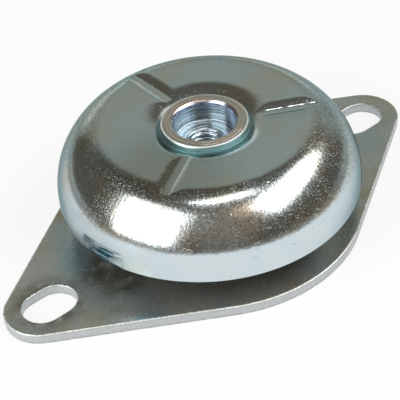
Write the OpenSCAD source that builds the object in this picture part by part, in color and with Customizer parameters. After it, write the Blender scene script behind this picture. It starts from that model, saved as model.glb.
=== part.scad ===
// Bell-shaped anti-vibration mount. A pressed steel bell covers a rubber spring that sits on a foot
// plate drawn up into a cone. A threaded bush passes through both and holds a washer below the
// cone, so that the bell can't be pulled off. The foot lies on Z = 0, its two slots lie along X,
// and the bush stands on the Z axis. Sizes are in millimetres.

/* [Bell cap] */
// Outside diameter of the bell's skirt
cap_d = 106; // [96:0.5:128]
// Thickness of the bell's steel sheet
cap_t = 2.5; // [2:0.1:3]
// Height of the bell's rim above the foot's underside
rim_z = 15.7; // [13:0.1:19]
// How far the flat crown lies below the top of the bush
crown_drop = 0.2; // [0:0.1:1]
// Height of the crown above the corner where the skirt and the sloping shoulder would meet
shoulder_rise = 10.6; // [8:0.1:12]
// Slope of the shoulder where it meets the crown, in degrees from level
shoulder_slope = 37; // [32:1:42]
// Outside radius of the bend from the skirt to the shoulder
shoulder_r = 25.5; // [15:0.5:27]
// Outside radius of the bend from the shoulder to the crown
crown_r = 14; // [6:0.5:16]

/* [Ring recess and grooves] */
// Depth of the ring recess round the bush, below the crown
recess_depth = 2.5; // [1.8:0.1:3]
// Width of the recess floor that shows round the bush's collar
recess_margin = 0.4; // [0.2:0.1:1]
// Slope of the recess side, in degrees from level
recess_slope = 27; // [22:1:32]
// Outside radius of the brow between the recess and the crown
brow_r = 19; // [10:0.5:20]
// Radius of the bend at the recess floor
recess_floor_r = 0.5; // [0.2:0.1:1]
// Number of radial grooves in the crown
groove_count = 3; // [2:1:6]
// Direction of the first groove, in degrees from +X
groove_start = 90; // [0:15:120]
// Depth of the grooves below the crown
groove_depth = 1.55; // [1:0.05:2]
// Width of the grooves' flat floor
groove_floor_w = 2.8; // [2:0.1:5]
// Height of the small step at each edge of the floor, whose side leans at 45 degrees
groove_step = 0.35; // [0.2:0.05:0.5]
// Slope of the grooves' sides above the step, in degrees from level
groove_slope = 22; // [18:1:30]
// Outside radius of the long bend from a groove's side to the crown
groove_brow_r = 16; // [6:0.5:18]

/* [Threaded bush] */
// Height of the top of the bush above the foot's underside
overall_h = 42; // [40:0.5:52]
// Diameter of the collar that rests in the ring recess
collar_d = 30.4; // [27:0.1:37]
// Radius of the collar's outer top edge
collar_edge_r = 0.8; // [0.3:0.1:1.5]
// Diameter of the shoulder of the bush that fills the hole in the bell
pilot_d = 27; // [25:0.1:27]
// How far the pilot reaches below the underside of the bell's sheet
pilot_reach = 4.2; // [3:0.1:5]
// Diameter of the counterbore in the collar
counterbore_d = 21.7; // [18:0.1:22]
// Depth of the counterbore at its wall
counterbore_depth = 8; // [6:0.1:9]
// Fall of the counterbore's floor from its wall to the thread
counterbore_fall = 0.5; // [0:0.1:1]
// Width of the chamfer at the mouth of the counterbore
mouth_chamfer = 0.75; // [0.3:0.05:1]
// Core diameter of the M12 thread
thread_core_d = 10.2; // [8.5:0.1:10.8]
// Width of the chamfer at each end of the thread
thread_chamfer = 0.7; // [0.3:0.05:1]
// Diameter of the stem below the pilot
stem_d = 20; // [18:0.1:22]

/* [Rebound washer] */
// Diameter of the washer below the cone
washer_d = 40; // [34:0.5:48]
// Thickness of the washer
washer_t = 3; // [2:0.1:4]
// Height of the washer's underside above the foot's underside
washer_z = 9.5; // [9:0.1:10]
// Diameter of the spigot that holds the washer
spigot_d = 16; // [14:0.1:17]
// Diameter of the rivet head that the end of the spigot is rolled into
rivet_d = 19.6; // [18:0.1:22]
// Thickness of the rivet head
rivet_t = 0.8; // [0.5:0.1:0.9]
// Radius of the washer's edges
washer_edge_r = 0.4; // [0.1:0.1:0.8]

/* [Foot plate] */
// Thickness of the foot plate's steel
plate_t = 4; // [3:0.1:5]
// How far the plate's round middle shows outside the bell
plate_margin = 0.4; // [0:0.1:4]
// Distance between the centres of the two slots
slot_pitch = 143.5; // [136:0.5:172]
// Width of the slots
slot_w = 14.3; // [10:0.1:15]
// Length of the slots from end to end
slot_l = 19.5; // [16:0.1:24]
// Radius of the plate's rounded ends
tip_r = 13.4; // [11:0.1:16]
// Distance from the middle of a slot out to the centre of the plate's rounded end
tip_shift = 2.75; // [0:0.05:5]
// Radius at which the cone's upper side would meet the flat plate
cone_foot_r = 36.4; // [32:0.1:38]
// Radius at which the cone's upper side would meet its ring
ring_edge_r = 24.5; // [23:0.1:27]
// Height of the ring's upper side above the foot's underside
ring_z = 21; // [19:0.5:23]
// Diameter of the hole in the ring
ring_hole_d = 28; // [27:0.1:30]
// Radius of the upper bend between the plate and the cone
cone_foot_bend = 2; // [1:0.1:3]
// Radius of the upper bend between the cone and the ring
ring_bend = 6; // [5.5:0.1:7]

/* [Rubber spring] */
// Radius of the rubber where it meets the bell
rubber_top_r = 35; // [32:0.5:36]
// Radius of the rubber's waist
rubber_waist_r = 30; // [29:0.5:32]
// Height of the rubber's waist above the foot's underside
rubber_waist_z = 25; // [23:0.5:27]
// Width of the rubber's foot on the cone
rubber_foot_w = 2.4; // [1.5:0.1:3]
// Height of the rubber's foot above the foot plate's underside
rubber_foot_z = 7; // [6:0.1:9]
// Radius of the rubber lip below the ring
lip_r = 18.5; // [16:0.1:20]
// Free travel of the washer before it meets the lip
rebound_travel = 2; // [1:0.1:2.5]

/* [Clearances] */
// Clearance of the pilot in the bell's hole
pilot_clearance = 0.1; // [0.05:0.05:0.3]
// Clearance of the spigot in the washer
spigot_clearance = 0.05; // [0.05:0.05:0.3]
// Clearance of the rubber from the steel on every side
rubber_gap = 0.3; // [0.2:0.05:0.4]

/* [Hidden] */
$fn = 96;
cap_r = cap_d / 2;
collar_r = collar_d / 2;
pilot_r = pilot_d / 2;
stem_r = stem_d / 2;
spigot_r = spigot_d / 2;
ring_hole_r = ring_hole_d / 2;
crown_z = overall_h - crown_drop;
recess_z = crown_z - recess_depth;
shoulder_z = crown_z - shoulder_rise;
// The skirt keeps at least this much straight wall above the rim
skirt_least = 0.5;
shoulder_bend = min(shoulder_r, (shoulder_z - rim_z - skirt_least) / tan((90 - shoulder_slope) / 2));
recess_corner_r = collar_r + recess_margin + recess_floor_r * tan(recess_slope / 2);
pilot_end_z = recess_z - cap_t - pilot_reach;
washer_top_z = washer_z + washer_t;
rivet_z = washer_z - rivet_t;
lip_z = washer_top_z + rebound_travel + rubber_gap;
// Cutting tools and open sides reach this far past the solid that they cut, and the cone's
// section this far past its foot into the flat plate
reach = 5;
// The sides of a groove run out over the crown at this slope, in degrees from level
groove_exit = 3;
// The chords of a rounded corner lie within this distance of the true arc
bend_error = 0.02;
// The longest step of a rounded corner, in degrees
bend_step = 15;

// The upper line of the bell's section, from the rim to the axis
cap_line = [
    [cap_r, rim_z],
    [cap_r, shoulder_z],
    [cap_r - shoulder_rise / tan(shoulder_slope), crown_z],
    [recess_corner_r + recess_depth / tan(recess_slope), crown_z],
    [recess_corner_r, recess_z],
    [0, recess_z]
];
cap_bends = [0, shoulder_bend, crown_r, brow_r, recess_floor_r, 0];

// The upper line of the foot plate's middle, from the flat plate to the axis
plate_line = [
    [cone_foot_r + reach, plate_t],
    [cone_foot_r, plate_t],
    [ring_edge_r, ring_z],
    [0, ring_z]
];
plate_bends = [0, cone_foot_bend, ring_bend, 0];

// Direction of a vector, as a vector of length 1
function unit(v) = v / norm(v);

// The vector a quarter turn to the left of v
function left(v) = [-v[1], v[0]];

// A vector turned anticlockwise by an angle in degrees
function turned(v, angle) = cos(angle) * v + sin(angle) * left(v);

// Half of the turn at the middle one of three points, in degrees, positive to the left
function half_turn(a, b, c) =
    let (u = unit(b - a), v = unit(c - b)) atan2(cross(u, v), u * v) / 2;

// Where the corner b of the line a, b, c comes to lie when the line moves d to its left
function moved_corner(a, b, c, d) =
    let (u = unit(b - a), v = unit(c - b)) b + d * (left(u) + left(v)) / (1 + u * v);

// A line of points moved d to its left, with square ends
function moved_line(pts, d) = [
    for (i = [0 : len(pts) - 1])
        i == 0 ? pts[0] + d * left(unit(pts[1] - pts[0]))
        : i == len(pts) - 1 ? pts[i] + d * left(unit(pts[i] - pts[i - 1]))
        : moved_corner(pts[i - 1], pts[i], pts[i + 1], d)
];

// The bends of a line that is moved d to its left: those that turn left get tighter
function moved_bends(pts, bends, d) = [
    for (i = [0 : len(pts) - 1])
        bends[i] == 0 ? 0
        : half_turn(pts[i - 1], pts[i], pts[i + 1]) > 0 ? max(0, bends[i] - d)
        : max(0, bends[i] + d)
];

// The points of an arc of radius r that rounds the corner b of the line a, b, c
function arc_points(a, b, c, r) =
    let (
        half = half_turn(a, b, c),
        start = b - r * tan(abs(half)) * unit(b - a),
        centre = start + sign(half) * r * left(unit(b - a)),
        steps = ceil(2 * abs(half) / min(bend_step, 2 * acos(1 - bend_error / r)))
    )
    [for (k = [0 : steps]) centre + turned(start - centre, 2 * half * k / steps)];

// A closed outline with each corner rounded to its bend, where a bend of 0 stays sharp
module rounded_outline(pts, bends) {
    n = len(pts);
    polygon([
        for (i = [0 : n - 1])
            each bends[i] > 0 ? arc_points(pts[(i + n - 1) % n], pts[i], pts[(i + 1) % n], bends[i])
            : [pts[i]]
    ]);
}

// The section under a line that runs from outside to the axis, with the line moved down by d
// and the section's flat bottom at floor_z
module section_under(pts, bends, d, floor_z) {
    line = moved_line(pts, d);
    rounded_outline(
        concat([[0, floor_z], [line[0][0], floor_z]], line),
        concat([0, 0], moved_bends(pts, bends, d))
    );
}

// One radial groove, moved d into the sheet, as the space that it takes out of the crown. The corner
// of its brow lies so far below the crown that the bend ends where the side leaves the sheet.
module groove(d) {
    floor_z = crown_z - groove_depth;
    corner_z = crown_z - groove_brow_r * tan((groove_slope - groove_exit) / 2) * sin(groove_exit);
    foot_x = groove_floor_w / 2 + groove_step - groove_step / tan(groove_slope);
    corner_x = foot_x + (corner_z - floor_z) / tan(groove_slope);
    end_x = corner_x + 2 * reach;
    side = [
        [end_x, corner_z + (end_x - corner_x) * tan(groove_exit)],
        [corner_x, corner_z],
        [foot_x, floor_z],
        [-foot_x, floor_z]
    ];
    bend = max(0, groove_brow_r - d);
    line = moved_line(side, d);
    rotate([90, 0, 90])
        linear_extrude(height = cap_d)
            rounded_outline(
                [
                    line[0],
                    line[1],
                    line[2],
                    [-line[2][0], line[2][1]],
                    [-line[1][0], line[1][1]],
                    [-line[0][0], line[0][1]],
                    [-line[0][0], crown_z + reach],
                    [line[0][0], crown_z + reach]
                ],
                [0, bend, 0, 0, bend, 0, 0, 0]
            );
}

// The flat floor of a groove with its small steps, as the space that it takes out
module groove_floor() {
    floor_z = crown_z - groove_depth;
    half = groove_floor_w / 2;
    rotate([90, 0, 90])
        linear_extrude(height = cap_d)
            polygon([
                [-half, floor_z],
                [half, floor_z],
                [half + groove_depth, crown_z],
                [-half - groove_depth, crown_z]
            ]);
}

// The solid under the bell's upper side, with that side moved d into the sheet
module bell_form(d, floor_z) {
    difference() {
        rotate_extrude() section_under(cap_line, cap_bends, d, floor_z);
        for (i = [0 : groove_count - 1])
            rotate(groove_start + i * 360 / groove_count) groove(d);
    }
}

module bell_cap() {
    color("#84827a")
        difference() {
            bell_form(0, rim_z);
            for (i = [0 : groove_count - 1])
                rotate(groove_start + i * 360 / groove_count) groove_floor();
            bell_form(cap_t, rim_z - reach);
            translate([0, 0, recess_z - cap_t - reach])
                cylinder(r = pilot_r + pilot_clearance, h = cap_t + 2 * reach);
        }
}

module threaded_bush() {
    core_r = thread_core_d / 2;
    bore_r = counterbore_d / 2;
    wall_z = overall_h - counterbore_depth;
    thread_z = wall_z - counterbore_fall;
    color("#8f979b")
        rotate_extrude()
            rounded_outline(
                [
                    [core_r + thread_chamfer, rivet_z],
                    [rivet_d / 2, rivet_z],
                    [rivet_d / 2, washer_z],
                    [spigot_r, washer_z],
                    [spigot_r, washer_top_z],
                    [stem_r, washer_top_z],
                    [stem_r, pilot_end_z],
                    [pilot_r, pilot_end_z],
                    [pilot_r, recess_z],
                    [collar_r, recess_z],
                    [collar_r, overall_h],
                    [bore_r + mouth_chamfer, overall_h],
                    [bore_r, overall_h - mouth_chamfer],
                    [bore_r, wall_z],
                    [core_r + thread_chamfer, thread_z],
                    [core_r, thread_z - thread_chamfer],
                    [core_r, rivet_z + thread_chamfer]
                ],
                [0, rivet_t / 2, 0, 0, 0, 0, 0, 0, 0, 0, collar_edge_r, 0, 0, 0, 0, 0, 0]
            );
}

module rebound_washer() {
    inner_r = spigot_r + spigot_clearance;
    outer_r = washer_d / 2;
    color("#8a9094")
        rotate_extrude()
            rounded_outline(
                [[inner_r, washer_z], [outer_r, washer_z], [outer_r, washer_top_z], [inner_r, washer_top_z]],
                [0, washer_edge_r, washer_edge_r, 0]
            );
}

// Outline of the foot: a rhombus whose tips and wide corners are rounded. The wide corners' arcs are
// centred on the axis, and the tips' arcs beyond the slots.
module plate_outline() {
    middle_r = cap_r + plate_margin;
    // Direction of a side's outward normal, from +X
    side = acos((middle_r - tip_r) / (slot_pitch / 2 + tip_shift));
    tip_x = middle_r / cos(side);
    wide_y = middle_r / sin(side);
    rounded_outline(
        [[tip_x, 0], [0, wide_y], [-tip_x, 0], [0, -wide_y]],
        [tip_r, middle_r, tip_r, middle_r]
    );
}

// A slot along X, centred on the origin
module slot_outline() {
    straight = slot_l - slot_w;
    square([straight, slot_w], center = true);
    for (x = [-straight / 2, straight / 2])
        translate([x, 0]) circle(d = slot_w);
}

// The cone's sheet in section, grown by d on every side
module cone_section(d) {
    difference() {
        section_under(plate_line, plate_bends, -d, -d);
        section_under(plate_line, plate_bends, plate_t + d, -reach);
        translate([0, -reach]) square([ring_hole_r - d, ring_z + 2 * reach]);
    }
}

module base_plate() {
    color("#5d6068")
        difference() {
            union() {
                linear_extrude(height = plate_t) plate_outline();
                rotate_extrude() section_under(plate_line, plate_bends, 0, 0);
            }
            rotate_extrude() section_under(plate_line, plate_bends, plate_t, -reach);
            translate([0, 0, -reach]) cylinder(r = ring_hole_r, h = ring_z + 2 * reach);
            for (x = [-slot_pitch / 2, slot_pitch / 2])
                translate([x, 0, -reach]) linear_extrude(height = plate_t + 2 * reach) slot_outline();
        }
}

// Radius of the cone's upper side at the height z
function cone_r(z) =
    cone_foot_r - (cone_foot_r - ring_edge_r) * (z - plate_t) / (ring_z - plate_t);

module rubber_element() {
    hole_r = stem_r + rubber_gap;
    pilot_gap_r = pilot_r + rubber_gap;
    foot_r = cone_r(rubber_foot_z);
    color("#26262a")
        intersection() {
            rotate_extrude()
                difference() {
                    rounded_outline(
                        [
                            [hole_r, lip_z],
                            [lip_r, lip_z],
                            [lip_r, ring_z - plate_t / 2],
                            [ring_edge_r - plate_t / 2, ring_z - plate_t / 2],
                            [foot_r - plate_t / 2, rubber_foot_z],
                            [foot_r + rubber_foot_w, rubber_foot_z],
                            [rubber_waist_r, rubber_waist_z],
                            [rubber_top_r, crown_z],
                            [pilot_gap_r, crown_z],
                            [pilot_gap_r, pilot_end_z - rubber_gap],
                            [hole_r, pilot_end_z - rubber_gap]
                        ],
                        [0, 1, 0, 0, 0, 1, 8, 0, 0, 0, 0]
                    );
                    cone_section(rubber_gap);
                }
            bell_form(cap_t + rubber_gap, -reach);
        }
}

bell_cap();
threaded_bush();
rubber_element();
base_plate();
rebound_washer();
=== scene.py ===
"""Bell-shaped anti-vibration mount: detailed pieces, finishes, studio and camera.

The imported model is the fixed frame. The bell, the bush, the foot, the rubber and the washer are
rebuilt here as fine surfaces in the places of their frame nodes. All lengths are in metres, apart
from those of the finishes, which are in millimetres.
"""

import logging
from collections.abc import Callable, Mapping, Sequence
from dataclasses import dataclass
from enum import Enum
from functools import partial

import bpy
import numpy as np
from bpy.types import Material, Node, NodeSocket, NodeTree, Object
from mathutils import Matrix, Vector
from mathutils.geometry import tessellate_polygon


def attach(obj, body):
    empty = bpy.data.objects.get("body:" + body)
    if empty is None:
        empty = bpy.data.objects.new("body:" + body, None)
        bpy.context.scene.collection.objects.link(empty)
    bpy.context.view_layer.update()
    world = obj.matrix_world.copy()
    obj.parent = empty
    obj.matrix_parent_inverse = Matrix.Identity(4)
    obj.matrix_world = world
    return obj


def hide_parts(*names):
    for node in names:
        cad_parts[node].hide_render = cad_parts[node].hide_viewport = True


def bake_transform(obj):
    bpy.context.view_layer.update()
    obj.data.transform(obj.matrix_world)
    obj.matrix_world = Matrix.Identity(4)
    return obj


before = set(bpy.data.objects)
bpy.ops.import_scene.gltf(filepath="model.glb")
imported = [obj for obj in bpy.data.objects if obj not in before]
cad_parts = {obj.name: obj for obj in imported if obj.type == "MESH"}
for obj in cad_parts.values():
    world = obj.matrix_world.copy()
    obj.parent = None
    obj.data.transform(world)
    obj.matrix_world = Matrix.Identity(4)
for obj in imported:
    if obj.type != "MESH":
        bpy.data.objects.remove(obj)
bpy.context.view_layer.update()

LOG = logging.getLogger("bell_mount")
MM = 0.001
SAME_PLACE = 1e-7
SHARPEST_BEND = 0.02 * MM
EDGE_STEPS = 4

# A place, a start and an end, a corner with the radius of its bend (0 for a sharp one), and the
# largest turn between two points of an arc, in radians, with the longest straight stretch
Place = tuple[float, float, float]
Span = tuple[float, float]
Corner = tuple[float, float, float]
Steps = tuple[float, float]


class Slot(Enum):
    """The finish slots that the record names."""

    BELL = "bell_zinc"
    BUSH = "bush_zinc"
    FOOT = "plate_zinc"
    WASHER = "washer_zinc"
    RUBBER = "rubber"


class Body(Enum):
    """The two bodies that the rubber joins."""

    BASE = "base"
    TOP = "top"


# Lines and grids


def unit(v: np.ndarray) -> np.ndarray:
    """Returns v scaled to length 1."""
    return v / np.linalg.norm(v)


def left(v: np.ndarray) -> np.ndarray:
    """Returns the plane vector v turned a quarter turn to the left."""
    return np.array([-v[1], v[0]])


def half_turn(a: np.ndarray, b: np.ndarray, c: np.ndarray) -> float:
    """Half of the turn at b on the way a, b, c, in radians, positive to the left."""
    u, v = unit(b - a), unit(c - b)
    return float(np.arctan2(u[0] * v[1] - u[1] * v[0], u @ v)) / 2


def corner_arc(
    a: np.ndarray, b: np.ndarray, c: np.ndarray, radius: float, count: int
) -> np.ndarray:
    """Rounds the corner b of the way a, b, c on an arc whose circle touches both of its sides.

    Args:
        a: the point before the corner.
        b: the corner.
        c: the point after it.
        radius: the arc's radius.
        count: how many stretches the arc has.

    Returns:
        The arc's points, one row each.
    """
    half = half_turn(a, b, c)
    start = b - radius * np.tan(abs(half)) * unit(b - a)
    centre = start + np.sign(half) * radius * left(unit(b - a))
    arm = start - centre
    angles = np.linspace(0, 2 * half, count + 1)
    return centre + np.outer(np.cos(angles), arm) + np.outer(np.sin(angles), left(arm))


def rounded_line(
    corners: Sequence[Corner] | np.ndarray, steps: Steps, closed: bool = False
) -> np.ndarray:
    """Rounds a line's corners on arcs and divides its straight stretches.

    Args:
        corners: the corners with their bends.
        steps: how finely arcs and straight stretches are divided.
        closed: whether the last corner joins the first.

    Returns:
        The line's points.
    """
    points, bends = np.split(np.asarray(corners, dtype=float), [2], axis=1)
    turn_step, longest = steps
    count = len(points)
    arcs: list[np.ndarray] = []
    for i, bend in enumerate(bends[:, 0]):
        if bend <= 0 or (not closed and i in (0, count - 1)):
            arcs.append(points[i][None, :])
            continue
        a, b, c = points[i - 1], points[i], points[(i + 1) % count]
        turns = max(2, int(np.ceil(2 * abs(half_turn(a, b, c)) / turn_step)))
        arcs.append(corner_arc(a, b, c, bend, turns))
    out = [] if closed else [arcs[0]]
    pairs = zip(arcs, arcs[1:] + arcs[:1]) if closed else zip(arcs[:-1], arcs[1:])
    for here, there in pairs:
        gap = there[0] - here[-1]
        pieces = max(1, int(np.ceil(np.linalg.norm(gap) / longest)))
        between = here[-1] + gap * np.linspace(0, 1, pieces + 1)[1:-1, None]
        out += [here, between] if closed else [between, there]
    line = np.concatenate(out)
    keep = np.linalg.norm(np.diff(line, axis=0), axis=1) > SAME_PLACE
    return line[np.concatenate([[True], keep])]


def parallel_line(corners: Sequence[Corner], distance: float, steps: Steps) -> np.ndarray:
    """A rounded open line moved to its left.

    A corner moves along the sum of its two sides' left normals, divided by one plus their cosine,
    and a bend that turns left gets tighter.

    Args:
        corners: the corners with their bends before they are moved.
        distance: how far the line moves.
        steps: how finely arcs and straight stretches are divided.

    Returns:
        The moved line's points.
    """
    moved = np.array(corners, dtype=float)
    points = moved[:, :2].copy()
    sides = np.diff(points, axis=0)
    sides /= np.linalg.norm(sides, axis=1)[:, None]
    normals = np.stack([-sides[:, 1], sides[:, 0]], axis=1)
    cosines = (sides[:-1] * sides[1:]).sum(axis=1)
    between = (normals[:-1] + normals[1:]) / (1 + cosines)[:, None]
    moved[:, :2] += distance * np.concatenate([normals[:1], between, normals[-1:]])
    for i in range(1, len(moved) - 1):
        if moved[i, 2] > 0:
            way = np.sign(half_turn(*points[i - 1 : i + 2]))
            moved[i, 2] = max(SHARPEST_BEND, moved[i, 2] - way * distance)
    return rounded_line(moved, steps)


def round_edges(profile: np.ndarray, corners: Sequence[int], radius: float) -> np.ndarray:
    """Rounds some corners of a closed profile on small arcs.

    Args:
        profile: the closed profile's points.
        corners: the numbers of the points to round.
        radius: the arcs' radius.

    Returns:
        The profile with each of these corners replaced by its arc.
    """
    out = [point[None, :] for point in profile]
    for i in corners:
        following = profile[(i + 1) % len(profile)]
        out[i] = corner_arc(profile[i - 1], profile[i], following, radius, EDGE_STEPS)
    return np.concatenate(out)


def full_turn(count: int) -> np.ndarray:
    """Returns even directions round the Z axis, in radians."""
    return np.linspace(0, 2 * np.pi, count, endpoint=False)


def turned_grid(profile: np.ndarray, angles: np.ndarray) -> np.ndarray:
    """Turns a profile of (radius, height) about Z: x = r cos a, y = r sin a, z = h.

    Args:
        profile: rows of radius and height, or one such profile for each angle.
        angles: the directions of the copies, in radians.

    Returns:
        Points as an array of angles by profile rows by 3.
    """
    rows = np.broadcast_to(profile, (len(angles), *profile.shape[-2:]))
    radius, height = rows[..., 0], rows[..., 1]
    x, y = radius * np.cos(angles)[:, None], radius * np.sin(angles)[:, None]
    return np.stack([x, y, height], axis=-1)


def grid_faces(rows: int, columns: int, wrap_rows: bool) -> np.ndarray:
    """Four-sided faces of a grid of closed rows, whose vertices run row by row.

    Args:
        rows: number of rows.
        columns: number of vertices in a row.
        wrap_rows: whether the last row joins the first.

    Returns:
        One row of four vertex numbers a face.
    """
    i = np.arange(rows if wrap_rows else rows - 1)[:, None]
    j = np.arange(columns)[None, :]
    i2, j2 = (i + 1) % rows, (j + 1) % columns
    corners = [i * columns + j, i2 * columns + j, i2 * columns + j2, i * columns + j2]
    return np.stack(corners, axis=-1).reshape(-1, 4)


def add_object(name: str, data: object) -> Object:
    """Adds an object with its data to the scene.

    Args:
        name: the object's name.
        data: its mesh, lamp or camera.

    Returns:
        The new object.
    """
    made = bpy.data.objects.new(name, data)
    bpy.context.scene.collection.objects.link(made)
    return made


def make_mesh(name: str, points: np.ndarray, *faces: np.ndarray) -> Object:
    """Makes a smooth-shaded object at the origin whose faces point outwards.

    The volume inside them tells which way they point: a sixth of the sum of the triple products
    of their fans of triangles.

    Args:
        name: the object's name.
        points: vertex positions, one row each.
        faces: vertex numbers, one row for each face, and one array for each size of face.

    Returns:
        The new object, linked to the scene.
    """
    volume = 0.0
    for group in faces:
        corners = points[group]
        for k in range(1, group.shape[1] - 1):
            volume += (corners[:, 0] * np.cross(corners[:, k], corners[:, k + 1])).sum() / 6
    way = 1 if volume > 0 else -1
    ordered = [face for group in faces for face in group[:, ::way].tolist()]
    mesh = bpy.data.meshes.new(name)
    mesh.from_pydata(points.tolist(), [], ordered)
    mesh.validate()
    mesh.polygons.foreach_set("use_smooth", np.ones(len(mesh.polygons), dtype=bool))
    mesh.update()
    LOG.info("%s: %d vertices, %d faces", name, len(points), len(ordered))
    return add_object(name, mesh)


def make_ring(name: str, points: np.ndarray) -> Object:
    """Makes the object of a grid that closes on itself both ways.

    Args:
        name: the object's name.
        points: positions as an array of sections by rows by 3.

    Returns:
        The new object.
    """
    faces = grid_faces(points.shape[0], points.shape[1], True)
    return make_mesh(name, points.reshape(-1, 3), faces)


def soft_min(a: np.ndarray, b: np.ndarray, width: float) -> np.ndarray:
    """The smaller of a and b, blended on a parabola where they differ by less than width."""
    closeness = np.clip(width - np.abs(a - b), 0, None) / width
    return np.minimum(a, b) - closeness**2 * width / 4


# Finishes


def linear(hex_colour: str) -> tuple[float, float, float, float]:
    """Turns an sRGB hex colour into linear light.

    Args:
        hex_colour: the colour, as #rrggbb.

    Returns:
        Red, green, blue and 1.
    """
    code = hex_colour.lstrip("#")
    parts = [int(code[i : i + 2], 16) / 255 for i in (0, 2, 4)]
    low = [p / 12.92 if p <= 0.04045 else ((p + 0.055) / 1.055) ** 2.4 for p in parts]
    return (low[0], low[1], low[2], 1.0)


def feed(tree: NodeTree, socket: NodeSocket, value: object) -> None:
    """Sets an input socket or links it.

    Args:
        tree: the node tree.
        socket: the input.
        value: a value, a hex colour, an output socket, or a node, which stands for the first of
            its outputs that is in use.
    """
    if isinstance(value, Node):
        value = next(out for out in value.outputs if out.enabled)
    if isinstance(value, NodeSocket):
        tree.links.new(value, socket)
    else:
        socket.default_value = linear(value) if isinstance(value, str) else value


def add_node(
    tree: NodeTree,
    kind: str,
    inputs: Mapping[str | int, object] | None = None,
    **settings: object,
) -> Node:
    """Adds a node with its settings, and sets or links its inputs.

    Args:
        tree: the node tree.
        kind: the node's type name without its first word.
        inputs: what each input is fed with, as feed says.
        settings: attributes to set on the node.

    Returns:
        The new node.
    """
    made = tree.nodes.new("ShaderNode" + kind)
    for key, value in settings.items():
        setattr(made, key, value)
    for key, value in (inputs or {}).items():
        feed(tree, made.inputs[key], value)
    return made


EASED = {"interpolation_type": "SMOOTHSTEP"}
COLOUR = {"data_type": "RGBA"}
PLUS = {"operation": "ADD"}
TIMES = {"operation": "MULTIPLY"}
SCALED = {"operation": "MULTIPLY_ADD"}


@dataclass(frozen=True)
class Ball:
    """A soft ball: 1 within the inner radius about its middle and 0 past the outer one."""

    middle: Place
    inner: float
    outer: float


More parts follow.
